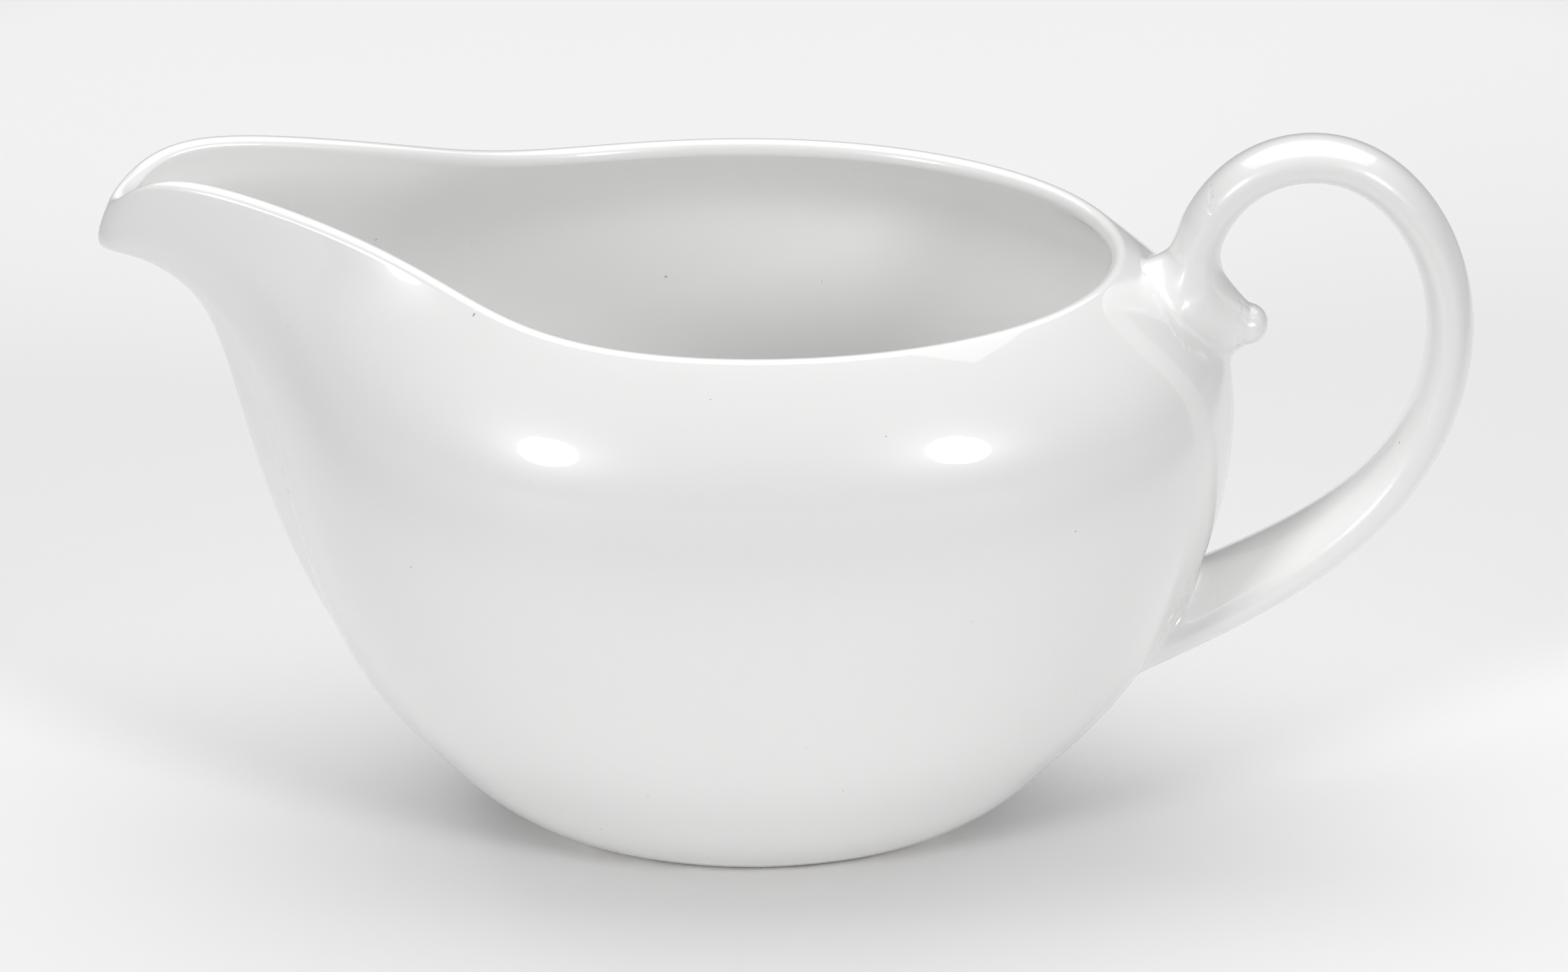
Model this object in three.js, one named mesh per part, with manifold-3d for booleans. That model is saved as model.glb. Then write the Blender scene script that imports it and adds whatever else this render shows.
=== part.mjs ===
// A glazed porcelain gravy boat: an oval globe-shaped bowl drawn out into a pouring spout, a foot ring under
// it, and a strap handle with a thumb spur, luted to the bowl by an upper and a lower joint of slip.
// Millimetres, +Z up, spout towards -X, handle towards +X. The origin is on the table, under the middle of
// the whole object.
import * as THREE from 'three';
import { mergeVertices } from 'three/addons/utils/BufferGeometryUtils.js';
import Module from 'manifold-3d';

// Driving dimensions
const BOWL_X = -5.1;            // the bowl's upright axis
const OVAL = 0.72;              // width over length of the bowl's level sections
const WALL = 2.7;               // thickness of the bowl's wall
const FLOOR_Z = 4.4;            // the inside's lowest point
const FLOOR_RADIUS = 14;        // flat middle of the inside, before it curves up
const GAP = 0.3;                // clearance between pieces that meet
const FOOT = { outer: 28.6, inner: 25.2, height: 1.2, flare: 3.6, inset: 0.6 };

// The outer wall is lofted through these rings, from the foot up. radius and height are the oval bowl's.
// On the spout's side the ring is drawn out to reach, within about spread degrees on both sides of the
// spout's middle and the more abruptly the higher power is. It is raised by lift within about rise degrees,
// and narrowed by the part pinch of its width. dip lowers its middle, so that the lip runs down to the tip,
// and nose thickens the wall behind the tip.
const roundRing = (radius, height) => ({
  radius, height, reach: radius, spread: 1, power: 2, lift: 0, rise: 1, pinch: 0, dip: 0, nose: 0,
});
const WALL_RINGS = [
  roundRing(32.7, 1.5),
  roundRing(38.9, 4.4),
  roundRing(45.3, 11.4),
  roundRing(54.4, 20.7),
  { ...roundRing(61.4, 32.8), reach: 66.9, spread: 7, power: 3, lift: 9.6, rise: 10 },
  { ...roundRing(66.9, 45.8), reach: 73.3, spread: 7.5, power: 3, lift: 22.3, rise: 11 },
  { ...roundRing(69.2, 59.8), reach: 77.8, spread: 10, lift: 23.3, rise: 18, pinch: 0.08 },
  {
    ...roundRing(68.5, 71.9), reach: 89.5, spread: 14, lift: 19.2, rise: 30,
    pinch: 0.22, dip: 2.5, nose: 0.8,
  },
  {
    ...roundRing(62.5, 79.8), reach: 93.9, spread: 20.5, lift: 13.4, rise: 35.5,
    pinch: 0.27, dip: 6, nose: 5.5,
  },
  { ...roundRing(53.3, 87.2), reach: 90.8, spread: 22.5, lift: 15.3, rise: 35.5, dip: 8 },
];
const PINCH_SPREAD = 34;        // degrees on both sides of the spout's middle
const DIP_SPREAD = 8.3;
const NOSE_SPREAD = 10;

// The strap handle's centre line in the plane Y = 0, from the upper root over the top to the lower root,
// with the strap's thickness in that plane and its width across it.
const STRAP = [
  { x: 57.6, z: 69.4, thickness: 8.0, width: 10.8 },
  { x: 58.5, z: 82.9, thickness: 6.9, width: 9.8 },
  { x: 56.9, z: 89.1, thickness: 6.6, width: 9.4 },
  { x: 65.5, z: 101.7, thickness: 6.6, width: 9.4 },
  { x: 83.2, z: 102.9, thickness: 6.6, width: 9.6 },
  { x: 96.9, z: 82.5, thickness: 6.6, width: 9.8 },
  { x: 91.4, z: 52.5, thickness: 7.0, width: 12.5 },
  { x: 71.4, z: 37.2, thickness: 8.4, width: 19 },
  { x: 46.2, z: 25.8, thickness: 10.2, width: 24 },
];

// The thumb spur inside the loop, from the upper root to its rounded tip.
const SPUR = [
  { x: 56.0, z: 78.3, thickness: 15, width: 9.2 },
  { x: 60.5, z: 77.4, thickness: 13, width: 9.6 },
  { x: 63.5, z: 76.8, thickness: 8.6, width: 8.6 },
  { x: 67.0, z: 76.6, thickness: 6.0, width: 6.6 },
];
const SPUR_TIP = { x: 68.4, z: 76.6 };

// The slip joints: how much of the strap's run each covers, and how far its skirt stands out at the bowl.
const UPPER_JOINT = { from: 0, to: 0.13, edge: 0.9, skirt: 3.0 };
const LOWER_JOINT = { from: 0.945, to: 1, edge: 0.8, skirt: 2.2 };
const SLIP_PAD = 0.9;           // slip between the handle's end and the bowl

const AROUND = 84;              // facets round the bowl
const CROWDING = 0.62;          // how much closer they are at the spout than on average
const WALL_STEPS = 18;
const RIM_STEPS = 5;
const STRAP_STEPS = 44;
const STRAP_SIDES = 18;
const END_STEPS = 8;            // along the spur, and along each slip joint
const ALONG_STEP = 0.005;       // short step along a centre line, to find its direction
const WALL_STEP = 1e-4;         // short step along the wall, in radians or as a part of its rise
const NEAR_RIM = 0.99;          // where the wall's direction at the rim is taken
const SAME_POINT = 1e-4;        // corners nearer than this are one
const FINEST = 0.01;            // slivers thinner than this are taken out of a cut shape

const wasm = await Module();
wasm.setup();

// Weights of a clamped cubic B-spline with count control points, at t from 0 to 1.
function splineWeights(count, t) {
  const spans = count - 3;
  const knot = (i) => Math.min(Math.max(i - 3, 0), spans) / spans;
  const at = Math.min(Math.max(t, 0), 1 - 1e-9);
  let weights = Array.from({ length: count + 3 }, (_, i) => (at >= knot(i) && at < knot(i + 1) ? 1 : 0));
  for (let degree = 1; degree <= 3; degree += 1) {
    weights = weights.slice(0, -1).map((weight, i) => {
      const left = knot(i + degree) - knot(i);
      const right = knot(i + degree + 1) - knot(i + 1);
      const rising = left > 0 ? ((at - knot(i)) / left) * weight : 0;
      const falling = right > 0 ? ((knot(i + degree + 1) - at) / right) * weights[i + 1] : 0;
      return rising + falling;
    });
  }
  return weights;
}

function splinePoint(points, t) {
  const weights = splineWeights(points.length, t);
  return points.reduce((sum, point, i) => sum.addScaledVector(point, weights[i]), new THREE.Vector3());
}

function splineValue(rows, key, t) {
  const weights = splineWeights(rows.length, t);
  return rows.reduce((sum, row, i) => sum + row[key] * weights[i], 0);
}

function bell(degrees, spread, power = 2) {
  return Math.exp(-(Math.abs(degrees / spread) ** power));
}

// Where a ring passes at turn, the angle in radians from the spout's middle. It stands at the bowl's axis.
function ringPoint(ring, turn) {
  const degrees = THREE.MathUtils.radToDeg(turn);
  const drawn = (ring.reach - ring.radius) * bell(degrees, ring.spread, ring.power);
  const lift = ring.lift * bell(degrees, ring.rise) - ring.dip * bell(degrees, DIP_SPREAD);
  const width = OVAL * (1 - ring.pinch * bell(degrees, PINCH_SPREAD));
  return new THREE.Vector3(
    -(ring.radius * Math.cos(turn) + drawn),
    -width * ring.radius * Math.sin(turn),
    ring.height + lift,
  );
}

function wallPoint(turn, up) {
  return splinePoint(WALL_RINGS.map((ring) => ringPoint(ring, turn)), up);
}

// The wall's outward direction, from two short steps along it.
function wallNormal(turn, up) {
  const along = wallPoint(turn + WALL_STEP, up).sub(wallPoint(turn - WALL_STEP, up));
  const above = wallPoint(turn, Math.min(up + WALL_STEP, 1));
  const rising = above.sub(wallPoint(turn, Math.max(up - WALL_STEP, 0)));
  return along.cross(rising).normalize();
}

// Control points of the inside at turn: the outer rings moved in by the wall, down to the flat floor.
function insidePoints(turn) {
  const degrees = THREE.MathUtils.radToDeg(turn);
  const last = WALL_RINGS.length - 1;
  const wall = WALL_RINGS.map((ring, i) => {
    const spans = last - 2;
    const middle = [1, 2, 3].reduce((sum, k) => sum + Math.min(Math.max(i + k - 3, 0), spans), 0) / 3;
    const normal = wallNormal(turn, middle / spans);
    const moved = ringPoint(ring, turn).addScaledVector(normal, -WALL);
    return moved.addScaledVector(normal.setY(0), -ring.nose * bell(degrees, NOSE_SPREAD));
  });
  const floor = new THREE.Vector3(0, 0, FLOOR_Z);
  const x = -FLOOR_RADIUS * Math.cos(turn);
  const y = -OVAL * FLOOR_RADIUS * Math.sin(turn);
  return [floor, new THREE.Vector3(x, y, FLOOR_Z), ...wall.slice(1)];
}

// The rounded rim's middle, its radius and the two directions that its half circle spans.
function rimFrame(turn) {
  const outer = wallPoint(turn, 1);
  const inner = insidePoints(turn).at(-1);
  const across = outer.clone().sub(inner).multiplyScalar(0.5);
  const rising = outer.clone().sub(wallPoint(turn, NEAR_RIM));
  const unit = across.clone().normalize();
  rising.addScaledVector(unit, -rising.dot(unit)).setLength(across.length());
  return { middle: inner.add(across), across, rising };
}

function rimPoint(turn, angle) {
  const { middle, across, rising } = rimFrame(turn);
  return middle.addScaledVector(across, Math.cos(angle)).addScaledVector(rising, Math.sin(angle));
}

const steps = (count) => Array.from({ length: count }, (_, i) => i);
const TURNS = steps(AROUND).map((i) => {
  const even = ((i + 0.5) / AROUND - 0.5) * 2 * Math.PI;
  return even - CROWDING * Math.sin(even);
});

// Six times the signed volume inside a set of faces: negative where they point inwards.
function signedVolume(points, faces) {
  let total = 0;
  for (let i = 0; i < faces.length; i += 3) {
    const [a, b, c] = [points[faces[i]], points[faces[i + 1]], points[faces[i + 2]]];
    total += a.dot(b.clone().cross(c));
  }
  return total;
}

// A closed skin through rings of points, with a point to close it at each end.
function skin(rings, first, last) {
  const count = rings[0].length;
  const points = [first, ...rings.flat(), last];
  const end = points.length - 1;
  const faces = [];
  for (let k = 0; k < count; k += 1) {
    const next = (k + 1) % count;
    faces.push(0, 1 + k, 1 + next);
    faces.push(end, end - count + next, end - count + k);
    for (let i = 0; i < rings.length - 1; i += 1) {
      const low = 1 + i * count;
      const high = low + count;
      faces.push(low + k, high + k, high + next);
      faces.push(low + k, high + next, low + next);
    }
  }
  if (signedVolume(points, faces) < 0) {
    faces.reverse();
  }
  return new THREE.BufferGeometry().setFromPoints(points).setIndex(faces);
}

function solidOf(geometry) {
  const bare = geometry.clone();
  bare.deleteAttribute('normal');
  bare.deleteAttribute('uv');
  const merged = mergeVertices(bare, SAME_POINT);
  const mesh = new wasm.Mesh({
    numProp: 3,
    vertProperties: new Float32Array(merged.attributes.position.array),
    triVerts: new Uint32Array(merged.index.array),
  });
  return new wasm.Manifold(mesh);
}

function geometryOf(solid) {
  const mesh = solid.simplify(FINEST).getMesh();
  const geometry = new THREE.BufferGeometry();
  geometry.setAttribute('position', new THREE.BufferAttribute(new Float32Array(mesh.vertProperties), 3));
  geometry.setIndex([...mesh.triVerts]);
  geometry.computeVertexNormals();
  return geometry;
}

// The bowl: up the outer wall, over the rim and down the inside to the floor.
function bowlGeometry() {
  const outside = steps(WALL_STEPS).map((i) => TURNS.map((turn) => wallPoint(turn, i / WALL_STEPS)));
  const rim = steps(RIM_STEPS + 1).map((i) => TURNS.map((turn) => rimPoint(turn, (Math.PI * i) / RIM_STEPS)));
  const inside = steps(WALL_STEPS - 1).map((i) => {
    const down = 1 - (i + 1) / WALL_STEPS;
    return TURNS.map((turn) => splinePoint(insidePoints(turn), down));
  });
  const under = new THREE.Vector3(0, 0, WALL_RINGS[0].height);
  const floor = new THREE.Vector3(0, 0, FLOOR_Z);
  const geometry = skin([...outside, ...rim, ...inside], under, floor);
  geometry.computeVertexNormals();
  return geometry;
}

// The bowl's outer shape, filled and grown by margin: it cuts the handle and the joints to fit.
function bowlCutter(margin) {
  const grown = steps(WALL_STEPS + 1).map((i) => TURNS.map((turn) => {
    const up = i / WALL_STEPS;
    return wallPoint(turn, up).addScaledVector(wallNormal(turn, up), margin);
  }));
  const lid = TURNS.map((turn) => {
    const { middle, across, rising } = rimFrame(turn);
    return middle.addScaledVector(rising, 1 + margin / across.length());
  });
  const under = new THREE.Vector3(0, 0, WALL_RINGS[0].height);
  const top = new THREE.Vector3(0, 0, WALL_RINGS.at(-1).height);
  return solidOf(skin([...grown, lid], under, top).translate(BOWL_X, 0, 0));
}

// Oval sections along a centre line in the plane Y = 0, grown on all sides by grow(t).
function sweepSolid(rows, from, to, count, grow, tip) {
  const rings = steps(count + 1).map((i) => {
    const t = from + ((to - from) * i) / count;
    const ahead = Math.min(t + ALONG_STEP, 1);
    const behind = Math.max(t - ALONG_STEP, 0);
    const along = new THREE.Vector2(
      splineValue(rows, 'x', ahead) - splineValue(rows, 'x', behind),
      splineValue(rows, 'z', ahead) - splineValue(rows, 'z', behind),
    ).normalize();
    const half = splineValue(rows, 'thickness', t) / 2 + grow(t);
    const halfWidth = splineValue(rows, 'width', t) / 2 + grow(t);
    return steps(STRAP_SIDES).map((k) => {
      const angle = (2 * Math.PI * k) / STRAP_SIDES;
      return new THREE.Vector3(
        splineValue(rows, 'x', t) - along.y * half * Math.cos(angle),
        halfWidth * Math.sin(angle),
        splineValue(rows, 'z', t) + along.x * half * Math.cos(angle),
      );
    });
  });
  const centre = (ring) => ring.reduce((sum, p) => sum.add(p), new THREE.Vector3()).divideScalar(ring.length);
  return solidOf(skin(rings, centre(rings[0]), tip ?? centre(rings.at(-1))));
}

const strapSolid = (margin) => sweepSolid(STRAP, 0, 1, STRAP_STEPS, () => margin);
const spurSolid = (margin) => {
  const tip = new THREE.Vector3(SPUR_TIP.x + margin, 0, SPUR_TIP.z);
  return sweepSolid(SPUR, 0, 1, END_STEPS, () => margin, tip);
};

function handleSolid(margin, clearOfBowl) {
  return strapSolid(margin).add(spurSolid(margin)).subtract(bowlCutter(clearOfBowl));
}

// A joint: the strap's end grown into a skirt at the bowl, less the bowl and the handle with their gaps.
function jointSolid(joint, skirtAt) {
  const grow = (t) => {
    const near = 1 - Math.abs(t - skirtAt) / (joint.to - joint.from);
    return joint.edge + (joint.skirt - joint.edge) * near * near;
  };
  const raw = sweepSolid(STRAP, joint.from, joint.to, END_STEPS, grow);
  return raw.subtract(bowlCutter(GAP)).subtract(handleSolid(GAP, GAP + SLIP_PAD));
}

function footGeometry() {
  const section = [
    [FOOT.outer, 0],
    [FOOT.outer + FOOT.flare, FOOT.height],
    [FOOT.inner - FOOT.inset, FOOT.height],
    [FOOT.inner, 0],
    [FOOT.outer, 0],
  ].map(([radius, z]) => new THREE.Vector2(radius, z));
  return new THREE.LatheGeometry(section, AROUND).rotateX(Math.PI / 2).scale(1, OVAL, 1);
}

const glaze = new THREE.MeshStandardMaterial({ color: 0xf3f3f1, roughness: 0.08, metalness: 0 });
const bareClay = new THREE.MeshStandardMaterial({ color: 0xe9e7e2, roughness: 0.6, metalness: 0 });

const gravyBoat = new THREE.Group();

function addPiece(name, geometry, material, x = 0) {
  const mesh = new THREE.Mesh(geometry, material);
  mesh.name = name;
  mesh.position.x = x;
  gravyBoat.add(mesh);
}

addPiece('bowl', bowlGeometry(), glaze, BOWL_X);
addPiece('foot_ring', footGeometry(), bareClay, BOWL_X);
addPiece('handle', geometryOf(handleSolid(0, 2 * GAP + SLIP_PAD)), glaze);
addPiece('upper_slip_joint', geometryOf(jointSolid(UPPER_JOINT, UPPER_JOINT.from)), glaze);
addPiece('lower_slip_joint', geometryOf(jointSolid(LOWER_JOINT, LOWER_JOINT.to)), glaze);

export default gravyBoat;
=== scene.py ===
"""A white glazed porcelain gravy boat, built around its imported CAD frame.

The shapes are worked out in millimetres, in the part's own frame, and become Blender meshes in metres.
The bowl is a loft through rings. The handle and the slip fillets are smooth surfaces of a distance field.
"""

import math

import bpy
import numpy as np
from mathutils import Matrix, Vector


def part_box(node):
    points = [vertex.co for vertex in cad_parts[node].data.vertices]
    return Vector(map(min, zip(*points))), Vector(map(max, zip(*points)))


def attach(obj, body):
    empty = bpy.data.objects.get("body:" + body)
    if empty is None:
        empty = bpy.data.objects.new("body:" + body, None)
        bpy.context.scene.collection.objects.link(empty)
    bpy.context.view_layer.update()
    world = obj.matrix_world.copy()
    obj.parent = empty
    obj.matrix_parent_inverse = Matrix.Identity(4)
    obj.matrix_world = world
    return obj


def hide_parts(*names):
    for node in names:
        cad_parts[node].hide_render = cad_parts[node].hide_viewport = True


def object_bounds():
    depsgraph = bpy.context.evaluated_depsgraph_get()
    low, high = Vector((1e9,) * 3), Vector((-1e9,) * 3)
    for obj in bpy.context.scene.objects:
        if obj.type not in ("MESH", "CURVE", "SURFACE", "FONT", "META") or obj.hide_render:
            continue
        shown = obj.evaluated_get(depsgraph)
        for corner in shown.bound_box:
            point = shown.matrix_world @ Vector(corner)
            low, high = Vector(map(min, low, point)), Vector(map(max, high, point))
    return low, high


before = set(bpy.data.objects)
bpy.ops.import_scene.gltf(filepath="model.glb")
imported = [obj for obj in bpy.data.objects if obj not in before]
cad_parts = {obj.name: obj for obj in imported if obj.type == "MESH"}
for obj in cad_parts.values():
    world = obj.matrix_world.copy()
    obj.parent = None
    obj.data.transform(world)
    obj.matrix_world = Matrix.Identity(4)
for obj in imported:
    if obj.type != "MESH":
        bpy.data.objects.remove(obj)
cad_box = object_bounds()

MM = 0.001

# The bowl, as in the CAD part. Rings of the outer wall from the foot up: the oval's radius and height, how
# far the ring is drawn out to the spout and the spread in degrees and power of that, its lift and the spread
# of the rise, the part of its width that is pinched in, the dip of its middle, and the wall's extra
# thickness.
OVAL = 0.72
WALL = 2.7
FLOOR_Z = 4.4
FLOOR_RADIUS = 14
WALL_RINGS = np.array([
    # radius height reach spread power lift rise pinch dip nose
    [32.7, 1.5, 32.7, 1.0, 2.0, 0.0, 1.0, 0.0, 0.0, 0.0],
    [38.9, 4.4, 38.9, 1.0, 2.0, 0.0, 1.0, 0.0, 0.0, 0.0],
    [45.3, 11.4, 45.3, 1.0, 2.0, 0.0, 1.0, 0.0, 0.0, 0.0],
    [54.4, 20.7, 54.4, 1.0, 2.0, 0.0, 1.0, 0.0, 0.0, 0.0],
    [61.4, 32.8, 66.9, 7.0, 3.0, 9.6, 10.0, 0.0, 0.0, 0.0],
    [66.9, 45.8, 73.3, 7.5, 3.0, 22.3, 11.0, 0.0, 0.0, 0.0],
    [69.2, 59.8, 77.8, 10.0, 2.0, 23.3, 18.0, 0.08, 0.0, 0.0],
    [68.5, 71.9, 89.5, 14.0, 2.0, 19.2, 30.0, 0.22, 2.5, 0.8],
    [62.5, 79.8, 93.9, 20.5, 2.0, 13.4, 35.5, 0.27, 6.0, 5.5],
    [53.3, 87.2, 90.8, 22.5, 2.0, 15.3, 35.5, 0.0, 8.0, 0.0],
])
RADIUS, HEIGHT, REACH, SPREAD, POWER, LIFT, RISE, PINCH, DIP, NOSE = WALL_RINGS.T[:, :, None]
PINCH_SPREAD = 34
DIP_SPREAD = 8.3
NOSE_SPREAD = 10

# The strap's centre line in the plane Y = 0, from the upper root over the top to the lower root:
# x, z, thickness in the plane and width across it. The spur's rows run from the strap to its rounded tip.
STRAP = np.array([
    [57.6, 69.4, 8.0, 10.8],
    [58.2, 82.9, 6.7, 9.8],
    [56.9, 89.1, 6.6, 9.4],
    [65.5, 101.7, 6.6, 9.4],
    [83.2, 102.9, 6.6, 9.6],
    [96.9, 82.5, 6.6, 9.8],
    [91.4, 52.5, 7.0, 12.5],
    [71.4, 37.2, 8.4, 19.0],
    [46.2, 26.4, 9.0, 24.0],
])
SPUR = np.array([
    [54.5, 78.0, 16.0, 10.0],
    [59.5, 76.9, 13.4, 10.0],
    [62.4, 76.2, 10.4, 9.0],
    [65.5, 75.9, 5.7, 6.8],
])

# The foot ring's flat standing face, and the glazed hollow inside it.
FOOT_OUTER = 28.6
FOOT_INNER = 25.2
FOOT_EDGE = 0.35                # radius of its ground edges
FOOT_LAP = 0.1                  # how far the foot reaches up into the bowl
RECESS_Z = 2.4
RECESS_RINGS = ((8, RECESS_Z), (16, RECESS_Z), (22, 2.25), (24, 1.9), (24.9, 1.5), (28, 1.47), (31.5, 1.45))

SPUR_BLEND = 6.0                # how far the spur's surface blends into the strap's
UPPER_BLEND = 9.0               # how far the handle's surface blends into the bowl's, at its upper root
LOWER_BLEND = 3.6               # and at its lower root
UNDER_SPUR = 0.4                # share of the upper blend that is left below the spur
SPUR_BOTTOM = 73.0
SPUR_TOP = 82.0
BITE = 1.2                      # how deep the handle's roots and the slip reach into the wall
SINK = 0.006                    # how far the slip's skin lies under the surfaces that it joins
SLIP_END = 49.0                 # the slip thins out towards the rim, to nothing at this x
SLIP_FADE = 7.0
LEAST_BLEND = 0.02              # share of the blend that is kept there
FIELD_STEP = 0.45               # grid of the distance field
SETTLING_ROUNDS = 4
FLATTEST = 0.25                 # the least squared slope that a vertex's move is divided by
HANDLE_BOX = (46, -14, 17), (100, 14, 107)
UPPER_BOX = (40, -20, 54), (80, 20, 107)
LOWER_BOX = (38, -22, 8), (76, 22, 50)

AROUND = 288                    # faces round the bowl
CROWDING = 0.6                  # how much closer they are at the spout than on average
WALL_STEPS = 72
RIM_STEPS = 14
STRAP_PLACES = 240
SPUR_PLACES = 30
PROFILE_PLACES = 600
SMALL = 1e-9
CHUNK = 4000                    # points that are searched at a time


def spline_weights(count, t):
    """Weights of a clamped cubic B-spline with count control points, one row for each t from 0 to 1."""
    spans = count - 3
    knots = np.clip(np.arange(-3, count + 1), 0, spans) / spans
    t = np.clip(np.atleast_1d(t), 0, 1 - SMALL)[:, None]
    weights = ((t >= knots[:-1]) & (t < knots[1:])).astype(float)
    for degree in range(1, 4):
        low, high = knots[:-degree - 1], knots[degree + 1:]
        left = knots[degree:-1] - low
        right = high - knots[1:-degree]
        rising = np.where(left > 0, (t - low) / np.where(left > 0, left, 1), 0)
        falling = np.where(right > 0, (high - t) / np.where(right > 0, right, 1), 0)
        weights = rising * weights[:, :-1] + falling * weights[:, 1:]
    return weights


def bell(degrees, spread, power=2):
    return np.exp(-np.abs(degrees / spread) ** power)


def ring_points(turns):
    """Control rings of the outer wall at each turn, the angle from the spout's middle. The axis is x = 0."""
    degrees = np.degrees(turns)[None]
    drawn = (REACH - RADIUS) * bell(degrees, SPREAD, POWER)
    lift = LIFT * bell(degrees, RISE) - DIP * bell(degrees, DIP_SPREAD)
    width = OVAL * (1 - PINCH * bell(degrees, PINCH_SPREAD))
    x = -(RADIUS * np.cos(turns) + drawn)
    y = -width * RADIUS * np.sin(turns)
    return np.stack([x, y, HEIGHT + lift], -1)


def wall_points(turns, ups):
    return np.einsum("ur,rtc->utc", spline_weights(len(WALL_RINGS), ups), ring_points(turns))


def wall_normals(turns, ups):
    step = 1e-4
    ups = np.asarray(ups, float)
    along = wall_points(turns + step, ups) - wall_points(turns - step, ups)
    rising = wall_points(turns, np.minimum(ups + step, 1)) - wall_points(turns, np.maximum(ups - step, 0))
    normal = np.cross(along, rising)
    return normal / np.linalg.norm(normal, axis=-1, keepdims=True)


def inside_rings(turns):
    """The outer rings moved in by the wall's thickness, down to the flat middle of the floor."""
    count = len(WALL_RINGS)
    knots = np.clip(np.arange(-3, count + 1), 0, count - 3) / (count - 3)
    middles = np.array([knots[i + 1:i + 4].mean() for i in range(count)])
    normals = wall_normals(turns, middles)
    moved = ring_points(turns) - WALL * normals
    moved -= (NOSE * bell(np.degrees(turns)[None], NOSE_SPREAD))[..., None] * normals * (1, 0, 1)
    centre = np.zeros((1, len(turns), 3))
    centre[..., 2] = FLOOR_Z
    flat = centre.copy()
    flat[..., 0] = -FLOOR_RADIUS * np.cos(turns)
    flat[..., 1] = -OVAL * FLOOR_RADIUS * np.sin(turns)
    return np.concatenate([centre, flat, moved[1:]])


def skin(rings, first=None, last=None):
    """Vertices and faces of a skin through rings of points. With end points it closes there; without, the
    last ring joins the first."""
    rings = np.asarray(rings)
    rows, count = rings.shape[:2]
    points = rings.reshape(-1, 3)
    k = np.arange(count)
    after = (k + 1) % count
    faces = []
    for i in range(rows if first is None else rows - 1):
        low, high = i * count, ((i + 1) % rows) * count
        faces += np.stack([low + k, low + after, high + after, high + k], 1).tolist()
    if first is not None:
        points = np.concatenate([points, [first, last]])
        start, end, top = rows * count, rows * count + 1, (rows - 1) * count
        faces += np.stack([np.full(count, start), after, k], 1).tolist()
        faces += np.stack([np.full(count, end), top + k, top + after], 1).tolist()
    return points, faces


def add_mesh(name, points, faces, material):
    """A smooth closed mesh object from points in millimetres, its faces turned outwards."""
    mesh = bpy.data.meshes.new(name)
    mesh.from_pydata((points * MM).tolist(), [], faces)
    piece = bpy.data.objects.new(name, mesh)
    bpy.context.scene.collection.objects.link(piece)
    mesh.materials.append(material)
    mesh.validate()
    if signed_volume(mesh) < 0:
        mesh.flip_normals()
    mesh.shade_smooth()
    return piece


def signed_volume(mesh):
    mesh.calc_loop_triangles()
    points = np.empty(len(mesh.vertices) * 3)
    mesh.vertices.foreach_get("co", points)
    corners = np.empty(len(mesh.loop_triangles) * 3, int)
    mesh.loop_triangles.foreach_get("vertices", corners)
    a, b, c = points.reshape(-1, 3)[corners.reshape(-1, 3)].transpose(1, 0, 2)
    return np.einsum("ij,ij->", a, np.cross(b, c)) / 6


# ---------------------------------------------------------------- the distance fields of handle and bowl

def dense_path(rows, count):
    """Centre line x and z, half thickness and half width, at count places, with their change per place."""
    path = spline_weights(len(rows), np.linspace(0, 1, count)) @ rows
    path[:, 2:] /= 2
    return np.hstack([path, np.gradient(path, axis=0)])


def nearest_on_path(path, x, z):
    """In-plane distance from each point to the centre line, and the half sizes of the section there."""
    flat_x, flat_z = np.ravel(x), np.ravel(z)
    found = np.empty((len(flat_x), 3))

    def ahead(part, row):
        return (flat_x[part] - row[:, 0]) * row[:, 4] + (flat_z[part] - row[:, 1]) * row[:, 5]

    for low in range(0, len(flat_x), CHUNK):
        part = slice(low, low + CHUNK)
        best = ((flat_x[part, None] - path[:, 0]) ** 2 + (flat_z[part, None] - path[:, 1]) ** 2).argmin(1)
        first = np.clip(best - (ahead(part, path[best]) < 0), 0, len(path) - 2)
        start, end = path[first], path[first + 1]
        before, after = ahead(part, start), ahead(part, end)
        t = np.clip(before / (before - after), 0, 1)[:, None]
        ease, pull, push = t * t * (3 - 2 * t), t * (1 - t) ** 2, t * t * (1 - t)
        there = start[:, :4] * (1 - ease) + end[:, :4] * ease + start[:, 4:] * pull - end[:, 4:] * push
        found[part, 0] = np.hypot(flat_x[part] - there[:, 0], flat_z[part] - there[:, 1])
        found[part, 1:] = there[:, 2:]
    return found.T.reshape(3, *np.shape(x))


def nearest_on_handle(x, z):
    return [nearest_on_path(path, x, z) for path in (STRAP_PATH, SPUR_PATH)]


def oval_distance(gap, y, half, half_width):
    """Distance to an oval section, from the offset in the handle's plane and the offset across it."""
    near = np.sqrt((gap / half) ** 2 + (y / half_width) ** 2) + SMALL
    steep = np.sqrt((gap / half ** 2) ** 2 + (y / half_width ** 2) ** 2) + SMALL
    return near * (near - 1) / steep


def smooth_min(a, b, reach):
    fade = np.clip(1 - np.abs(a - b) / reach, 0, 1)
    return np.minimum(a, b) - fade ** 3 * reach / 6


STRAP_PATH = dense_path(STRAP, STRAP_PLACES)
SPUR_PATH = dense_path(SPUR, SPUR_PLACES)
PROFILE = spline_weights(len(WALL_RINGS), np.linspace(0, 1, PROFILE_PLACES)) @ WALL_RINGS[:, :2]


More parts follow.
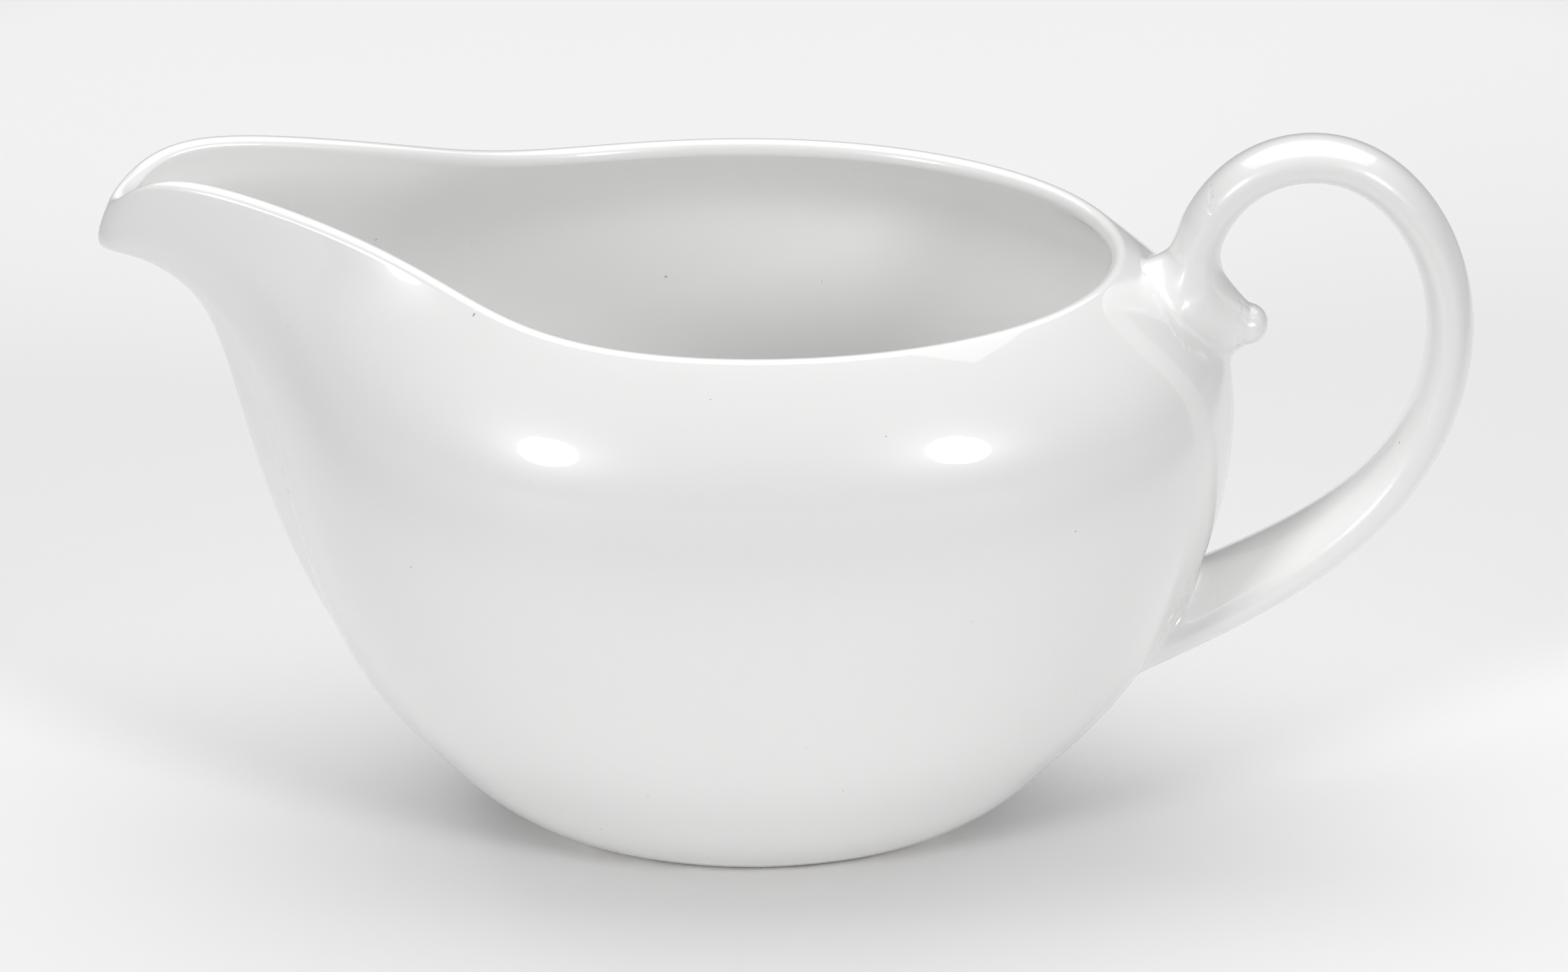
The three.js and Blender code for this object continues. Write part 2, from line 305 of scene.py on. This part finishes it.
def bowl_distance(x, y, z, bowl_x):
    """Distance to the outer wall on the handle's side, where the bowl is a plain oval."""
    across = np.sqrt((x - bowl_x) ** 2 + (y / OVAL) ** 2)
    radius = np.interp(z, PROFILE[:, 1], PROFILE[:, 0])
    slope = np.interp(z, PROFILE[:, 1], np.gradient(PROFILE[:, 0], PROFILE[:, 1]))
    steep = np.sqrt(((x - bowl_x) / across) ** 2 + (y / (OVAL ** 2 * across)) ** 2 + slope ** 2)
    return (across - radius) / steep


def handle_distance(near, y):
    strap, spur = (oval_distance(gap, y, half, half_width) for gap, half, half_width in near)
    return smooth_min(strap, spur, SPUR_BLEND)


def handle_field(x, y, z, near):
    """The handle, cut off inside the bowl's wall."""
    return np.maximum(handle_distance(near, y), -bowl_distance(x, y, z, BOWL_X) - BITE)


def fillet_field(blend, below=1.0):
    """The slip that fills the corner between handle and bowl, with thin skirts under both surfaces. Below the
    spur only a share of the blend is left."""
    def field(x, y, z, near):
        handle = handle_distance(near, y)
        bowl = bowl_distance(x, y, z, BOWL_X)
        reach = blend * np.clip((x - SLIP_END) / SLIP_FADE, LEAST_BLEND, 1)
        reach = reach * np.interp(z, (SPUR_BOTTOM, SPUR_TOP), (below, 1))
        slip = smooth_min(handle, bowl, reach) + SINK
        return np.maximum.reduce([slip, bowl - reach, handle - reach, -bowl - BITE / 2, -handle - BITE / 2])
    return field


def surface_net(values, corner, step):
    """Vertices and quads of the surface where a grid of values changes sign."""
    cells = np.array(values.shape) - 1
    total, hits = np.zeros((*cells, 3)), np.zeros(cells)
    inside = values < 0
    crossings = []
    for axis in range(3):
        low = [slice(None)] * 3
        high = [slice(None)] * 3
        low[axis], high[axis] = slice(0, -1), slice(1, None)
        a, b = values[tuple(low)], values[tuple(high)]
        crossing = inside[tuple(low)] != inside[tuple(high)]
        place = np.stack(np.meshgrid(*[np.arange(n) for n in a.shape], indexing="ij"), -1).astype(float)
        place[..., axis] += np.where(crossing, a / np.where(crossing, a - b, 1), 0)
        u, v = (axis + 1) % 3, (axis + 2) % 3
        for du in (0, 1):
            for dv in (0, 1):
                part = [slice(None)] * 3
                part[u] = slice(du, du + cells[u])
                part[v] = slice(dv, dv + cells[v])
                mask = crossing[tuple(part)]
                total += np.where(mask[..., None], place[tuple(part)], 0)
                hits += mask
        crossings.append((axis, u, v, np.argwhere(crossing), inside[tuple(low)][crossing]))
    used = hits > 0
    number = np.full(used.shape, -1)
    number[used] = np.arange(used.sum())
    points = corner + step * total[used] / hits[used][:, None]
    quads = []
    for axis, u, v, edges, outward in crossings:
        ring = []
        for du, dv in ((-1, -1), (0, -1), (0, 0), (-1, 0)):
            cell = edges.copy()
            cell[:, u] += du
            cell[:, v] += dv
            ring.append(number[tuple(cell.T)])
        quad = np.stack(ring, 1)
        quads.append(np.where(outward[:, None], quad, quad[:, ::-1]))
    return points, np.concatenate(quads)


def slope_of(field, points, step=0.01):
    """The field and its gradient at each point."""
    x, y, z = points.T
    near = nearest_on_handle(x, z)
    here = field(x, y, z, near)
    aside = field(x + step, y, z, nearest_on_handle(x + step, z))
    beside = field(x, y + step, z, near)
    above = field(x, y, z + step, nearest_on_handle(x, z + step))
    return here[:, None], (np.stack([aside, beside, above], 1) - here[:, None]) / step


def settle(points, quads, field, rounds):
    """Evens the vertices out along the surface and moves them exactly onto it."""
    edges = np.concatenate([quads[:, [i, (i + 1) % 4]] for i in range(4)])
    count = np.bincount(edges.ravel(), minlength=len(points))[:, None]
    for turn in range(rounds):
        value, slope = slope_of(field, points)
        steep = np.maximum((slope ** 2).sum(1, keepdims=True), FLATTEST)
        points = points - value * slope / steep
        if turn < rounds - 1:
            total = np.zeros_like(points)
            for a, b in ((0, 1), (1, 0)):
                for axis in range(3):
                    total[:, axis] += np.bincount(edges[:, a], points[edges[:, b], axis], len(points))
            move = total / count - points
            unit = slope / np.sqrt(steep)
            points = points + 0.5 * (move - unit * (move * unit).sum(1, keepdims=True))
    return points


def field_mesh(field, low, high):
    """A closed mesh of a field between two corners."""
    sizes = np.ceil((np.array(high) - low) / FIELD_STEP).astype(int)
    axes = [low[i] + FIELD_STEP * np.arange(sizes[i] + 1) for i in range(3)]
    x, z = np.meshgrid(axes[0], axes[2], indexing="ij")
    near = [found[:, :, None, :] for found in nearest_on_handle(x, z)]
    values = field(x[:, None, :], axes[1][None, :, None], z[:, None, :], near)
    points, quads = surface_net(values, np.array(low), FIELD_STEP)
    return settle(points, quads, field, SETTLING_ROUNDS), quads.tolist()


# ---------------------------------------------------------------- materials

def new_material(name):
    material = bpy.data.materials.new(name)
    material.use_nodes = True
    nodes = material.node_tree.nodes
    shader = next(node for node in nodes if node.type == "BSDF_PRINCIPLED")
    return material, nodes, material.node_tree.links, shader


def noise(nodes, links, scale, detail=2.0):
    """A noise pattern in metres of the object's own space."""
    place = nodes.new("ShaderNodeTexCoord")
    pattern = nodes.new("ShaderNodeTexNoise")
    pattern.inputs["Scale"].default_value = scale
    pattern.inputs["Detail"].default_value = detail
    links.new(place.outputs["Object"], pattern.inputs["Vector"])
    return pattern.outputs["Fac"]


def ramp(nodes, links, source, stops):
    node = nodes.new("ShaderNodeValToRGB")
    while len(node.color_ramp.elements) < len(stops):
        node.color_ramp.elements.new(0.5)
    for element, (place, colour) in zip(node.color_ramp.elements, stops):
        element.position = place
        element.color = (*colour, 1)
    links.new(source, node.inputs["Fac"])
    return node.outputs["Color"]


def glazed_porcelain(name):
    """White porcelain under a clear gloss glaze: faint clouding, iron specks and a slight ripple."""
    material, nodes, links, shader = new_material(name)
    shader.inputs["Roughness"].default_value = 0.32
    shader.inputs["IOR"].default_value = 1.5
    shader.inputs["Coat Weight"].default_value = 1.0
    shader.inputs["Coat Roughness"].default_value = 0.035
    shader.inputs["Coat IOR"].default_value = 1.52
    clouding = noise(nodes, links, 18, 3)
    clouds = ramp(nodes, links, clouding, [(0.3, (0.915, 0.915, 0.91)), (0.7, (0.93, 0.93, 0.925))])
    specking = noise(nodes, links, 900, 1)
    specks = ramp(nodes, links, specking, [(0.165, (0.5, 0.48, 0.45)), (0.18, (1, 1, 1))])
    mix = nodes.new("ShaderNodeMix")
    mix.data_type = "RGBA"
    mix.blend_type = "MULTIPLY"
    mix.inputs["Factor"].default_value = 1.0
    links.new(clouds, mix.inputs["A"])
    links.new(specks, mix.inputs["B"])
    links.new(mix.outputs["Result"], shader.inputs["Base Color"])
    ripple = nodes.new("ShaderNodeBump")
    ripple.inputs["Strength"].default_value = 0.06
    ripple.inputs["Distance"].default_value = 0.0006
    links.new(noise(nodes, links, 70, 2), ripple.inputs["Height"])
    links.new(ripple.outputs["Normal"], shader.inputs["Normal"])
    links.new(ripple.outputs["Normal"], shader.inputs["Coat Normal"])
    return material


def bare_porcelain(name):
    """Unglazed porcelain where the foot was ground flat: matte, finely grained, slightly soiled."""
    material, nodes, links, shader = new_material(name)
    soiling = noise(nodes, links, 260, 5)
    colour = ramp(nodes, links, soiling, [(0.35, (0.66, 0.64, 0.60)), (0.6, (0.76, 0.75, 0.72))])
    links.new(colour, shader.inputs["Base Color"])
    rough = nodes.new("ShaderNodeMapRange")
    rough.inputs["To Min"].default_value = 0.5
    rough.inputs["To Max"].default_value = 0.75
    links.new(noise(nodes, links, 1500, 3), rough.inputs["Value"])
    links.new(rough.outputs["Result"], shader.inputs["Roughness"])
    grain = nodes.new("ShaderNodeBump")
    grain.inputs["Strength"].default_value = 0.4
    grain.inputs["Distance"].default_value = 0.0001
    links.new(noise(nodes, links, 3500, 4), grain.inputs["Height"])
    links.new(grain.outputs["Normal"], shader.inputs["Normal"])
    return material


# ---------------------------------------------------------------- pieces

def place_piece(piece, node):
    """Puts a piece on the one body, in place of its CAD node."""
    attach(piece, "root")
    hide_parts(node)


def oval_ring(turns, radius, z):
    return np.stack([-radius * np.cos(turns), -OVAL * radius * np.sin(turns), np.full(len(turns), z)], 1)


def make_bowl(glaze):
    """The bowl's skin: the glazed recess underneath, the outer wall, the round rim and the inner wall."""
    even = ((np.arange(AROUND) + 0.5) / AROUND - 0.5) * 2 * math.pi
    turns = even - CROWDING * np.sin(even)
    outer = wall_points(turns, np.linspace(0, 1, WALL_STEPS + 1))
    inner_rings = inside_rings(turns)
    inner_weights = spline_weights(len(inner_rings), np.linspace(1, 0, WALL_STEPS + 1))
    inner = np.einsum("ur,rtc->utc", inner_weights, inner_rings)
    across = (outer[-1] - inner[0]) / 2
    radius = np.linalg.norm(across, axis=1, keepdims=True)
    unit = across / radius
    rising = outer[-1] - outer[-2]
    rising -= unit * (rising * unit).sum(1, keepdims=True)
    rising *= radius / np.linalg.norm(rising, axis=1, keepdims=True)
    angles = np.linspace(0, math.pi, RIM_STEPS + 1)[1:-1, None, None]
    rim = (outer[-1] + inner[0]) / 2 + np.cos(angles) * across + np.sin(angles) * rising
    under = [oval_ring(turns, wide, z) for wide, z in RECESS_RINGS]
    rings = np.concatenate([under, outer, rim, inner[:-1]])
    points, faces = skin(rings, (0, 0, RECESS_Z), (0, 0, FLOOR_Z))
    piece = add_mesh("bowl_body", points + [BOWL_X, 0, 0], faces, glaze)
    place_piece(piece, "bowl")


def make_foot(clay):
    """The ground foot: a low ring with softened edges, flush with the bowl's outline above it."""
    turns = np.linspace(-math.pi, math.pi, AROUND, endpoint=False)
    top_outer, top_z = RADIUS[0, 0] - 0.05, HEIGHT[0, 0]
    section = [
        (FOOT_INNER, FOOT_EDGE),
        (FOOT_INNER + 0.3 * FOOT_EDGE, 0.3 * FOOT_EDGE),
        (FOOT_INNER + FOOT_EDGE, 0),
        (FOOT_OUTER - FOOT_EDGE, 0),
        (FOOT_OUTER + 0.2 * FOOT_EDGE, 0.12 * FOOT_EDGE),
        (FOOT_OUTER + FOOT_EDGE, 0.3 * FOOT_EDGE),
        (FOOT_OUTER + 1.0, 0.33),
        (top_outer, top_z),
        (top_outer - 1, top_z + FOOT_LAP),
        (FOOT_INNER - 0.4, top_z + FOOT_LAP),
        (FOOT_INNER - 0.55, top_z),
        (FOOT_INNER - 0.3, 0.8),
    ]
    points, faces = skin([oval_ring(turns, wide, z) for wide, z in section])
    piece = add_mesh("ground_foot", points + [BOWL_X, 0, 0], faces, clay)
    place_piece(piece, "foot_ring")


def make_handle(glaze):
    points, faces = field_mesh(handle_field, *HANDLE_BOX)
    piece = add_mesh("strap_handle", points, faces, glaze)
    place_piece(piece, "handle")


def make_slip_joints(glaze):
    points, faces = field_mesh(fillet_field(UPPER_BLEND, UNDER_SPUR), *UPPER_BOX)
    upper = add_mesh("upper_slip", points, faces, glaze)
    place_piece(upper, "upper_slip_joint")
    points, faces = field_mesh(fillet_field(LOWER_BLEND), *LOWER_BOX)
    lower = add_mesh("lower_slip", points, faces, glaze)
    place_piece(lower, "lower_slip_joint")


# ---------------------------------------------------------------- camera, light and floor

VIEW_ELEVATION = math.radians(25.5)
VIEW_WIDTH = 0.2234             # how much of the world the picture spans at the object
VIEW_DISTANCE = 2.4
AIM_X = -0.00033                # where the camera aims
AIM_HEIGHT = 0.48               # of the object's height
SENSOR = 36.0
FLOOR_HALF = 3.0                # half the side of the floor
PALE_MIDDLE = 0.11              # a painted pool of light: the floor is painted palest around this place behind the object
# the floor's painted light, its painted shade farther out, and the radii where one fades into the other
PALE = 0.9
GREY = 0.36
PALE_RADIUS = 0.2
GREY_RADIUS = 0.31
LAMP_AIM_HEIGHT = 0.05          # the height that the lights look at
WORLD_STRENGTH = 0.1


def make_camera():
    height = cad_box[1][2]
    aim = np.array([AIM_X, 0.0, AIM_HEIGHT * height])
    back = np.array([0, -math.cos(VIEW_ELEVATION), math.sin(VIEW_ELEVATION)])
    data = bpy.data.cameras.new("photo_camera")
    data.sensor_width = SENSOR
    data.lens = SENSOR * VIEW_DISTANCE / VIEW_WIDTH
    camera = bpy.data.objects.new("photo_camera", data)
    camera.location = aim + VIEW_DISTANCE * back
    camera.rotation_euler = (math.pi / 2 - VIEW_ELEVATION, 0, 0)
    bpy.context.scene.collection.objects.link(camera)
    bpy.context.scene.camera = camera


def make_softbox(name, azimuth, elevation, distance, width, height, power, shape="ELLIPSE"):
    """A flat light that looks at the object. Azimuth 0 is the camera's side, and it grows towards +X."""
    data = bpy.data.lights.new(name, "AREA")
    data.shape = shape
    data.size, data.size_y, data.energy = width, height, power
    lamp = bpy.data.objects.new(name, data)
    azimuth, elevation = math.radians(azimuth), math.radians(elevation)
    lamp.location = (
        distance * math.cos(elevation) * math.sin(azimuth),
        -distance * math.cos(elevation) * math.cos(azimuth),
        distance * math.sin(elevation) + LAMP_AIM_HEIGHT,
    )
    lamp.rotation_euler = (math.pi / 2 - elevation, 0, azimuth)
    bpy.context.scene.collection.objects.link(lamp)


def painted_light_pool_surface(name):
    """Pale around the object and behind it, softly greyer farther away: a painted pool of light with painted
    shade round it.
    """
    material, nodes, links, shader = new_material(name)
    place = nodes.new("ShaderNodeTexCoord")
    away = nodes.new("ShaderNodeVectorMath")
    away.operation = "DISTANCE"
    away.inputs[1].default_value = (0, PALE_MIDDLE, 0)
    links.new(place.outputs["Object"], away.inputs[0])
    fade = nodes.new("ShaderNodeMapRange")
    fade.interpolation_type = "SMOOTHSTEP"
    fade.inputs["From Min"].default_value = PALE_RADIUS
    fade.inputs["From Max"].default_value = GREY_RADIUS
    fade.inputs["To Min"].default_value = PALE
    fade.inputs["To Max"].default_value = GREY
    links.new(away.outputs["Value"], fade.inputs["Value"])
    links.new(fade.outputs["Result"], shader.inputs["Base Color"])
    shader.inputs["Roughness"].default_value = 0.6
    return material


def make_floor():
    points = [(x * FLOOR_HALF, y * FLOOR_HALF, 0) for x, y in ((-1, -1), (1, -1), (1, 1), (-1, 1))]
    mesh = bpy.data.meshes.new("floor")
    mesh.from_pydata(points, [], [(0, 1, 2, 3)])
    floor = bpy.data.objects.new("floor", mesh)
    bpy.context.scene.collection.objects.link(floor)
    mesh.materials.append(painted_light_pool_surface("floor_painted_light_pool"))


def make_light():
    world = bpy.data.worlds.new("studio")
    bpy.context.scene.world = world
    world.use_nodes = True
    background = next(node for node in world.node_tree.nodes if node.type == "BACKGROUND")
    background.inputs["Color"].default_value = (1, 1, 1, 1)
    background.inputs["Strength"].default_value = WORLD_STRENGTH
    make_softbox("left_softbox", -39.5, 22.8, 2.5, 0.52, 0.68, 20)
    make_softbox("right_softbox", 40.5, 26.5, 2.5, 0.54, 0.74, 20)
    make_softbox("overhead_softbox", 180, 76, 1.9, 3.2, 2.4, 43, "RECTANGLE")
    bpy.context.scene.view_settings.view_transform = "Standard"


foot_low, foot_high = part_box("foot_ring")
BOWL_X = (foot_low.x + foot_high.x) / 2 / MM

glaze = glazed_porcelain("porcelain_glaze")
make_camera()
make_bowl(glaze)
make_foot(bare_porcelain("bare_porcelain"))
make_handle(glaze)
make_slip_joints(glaze)
make_floor()
make_light()
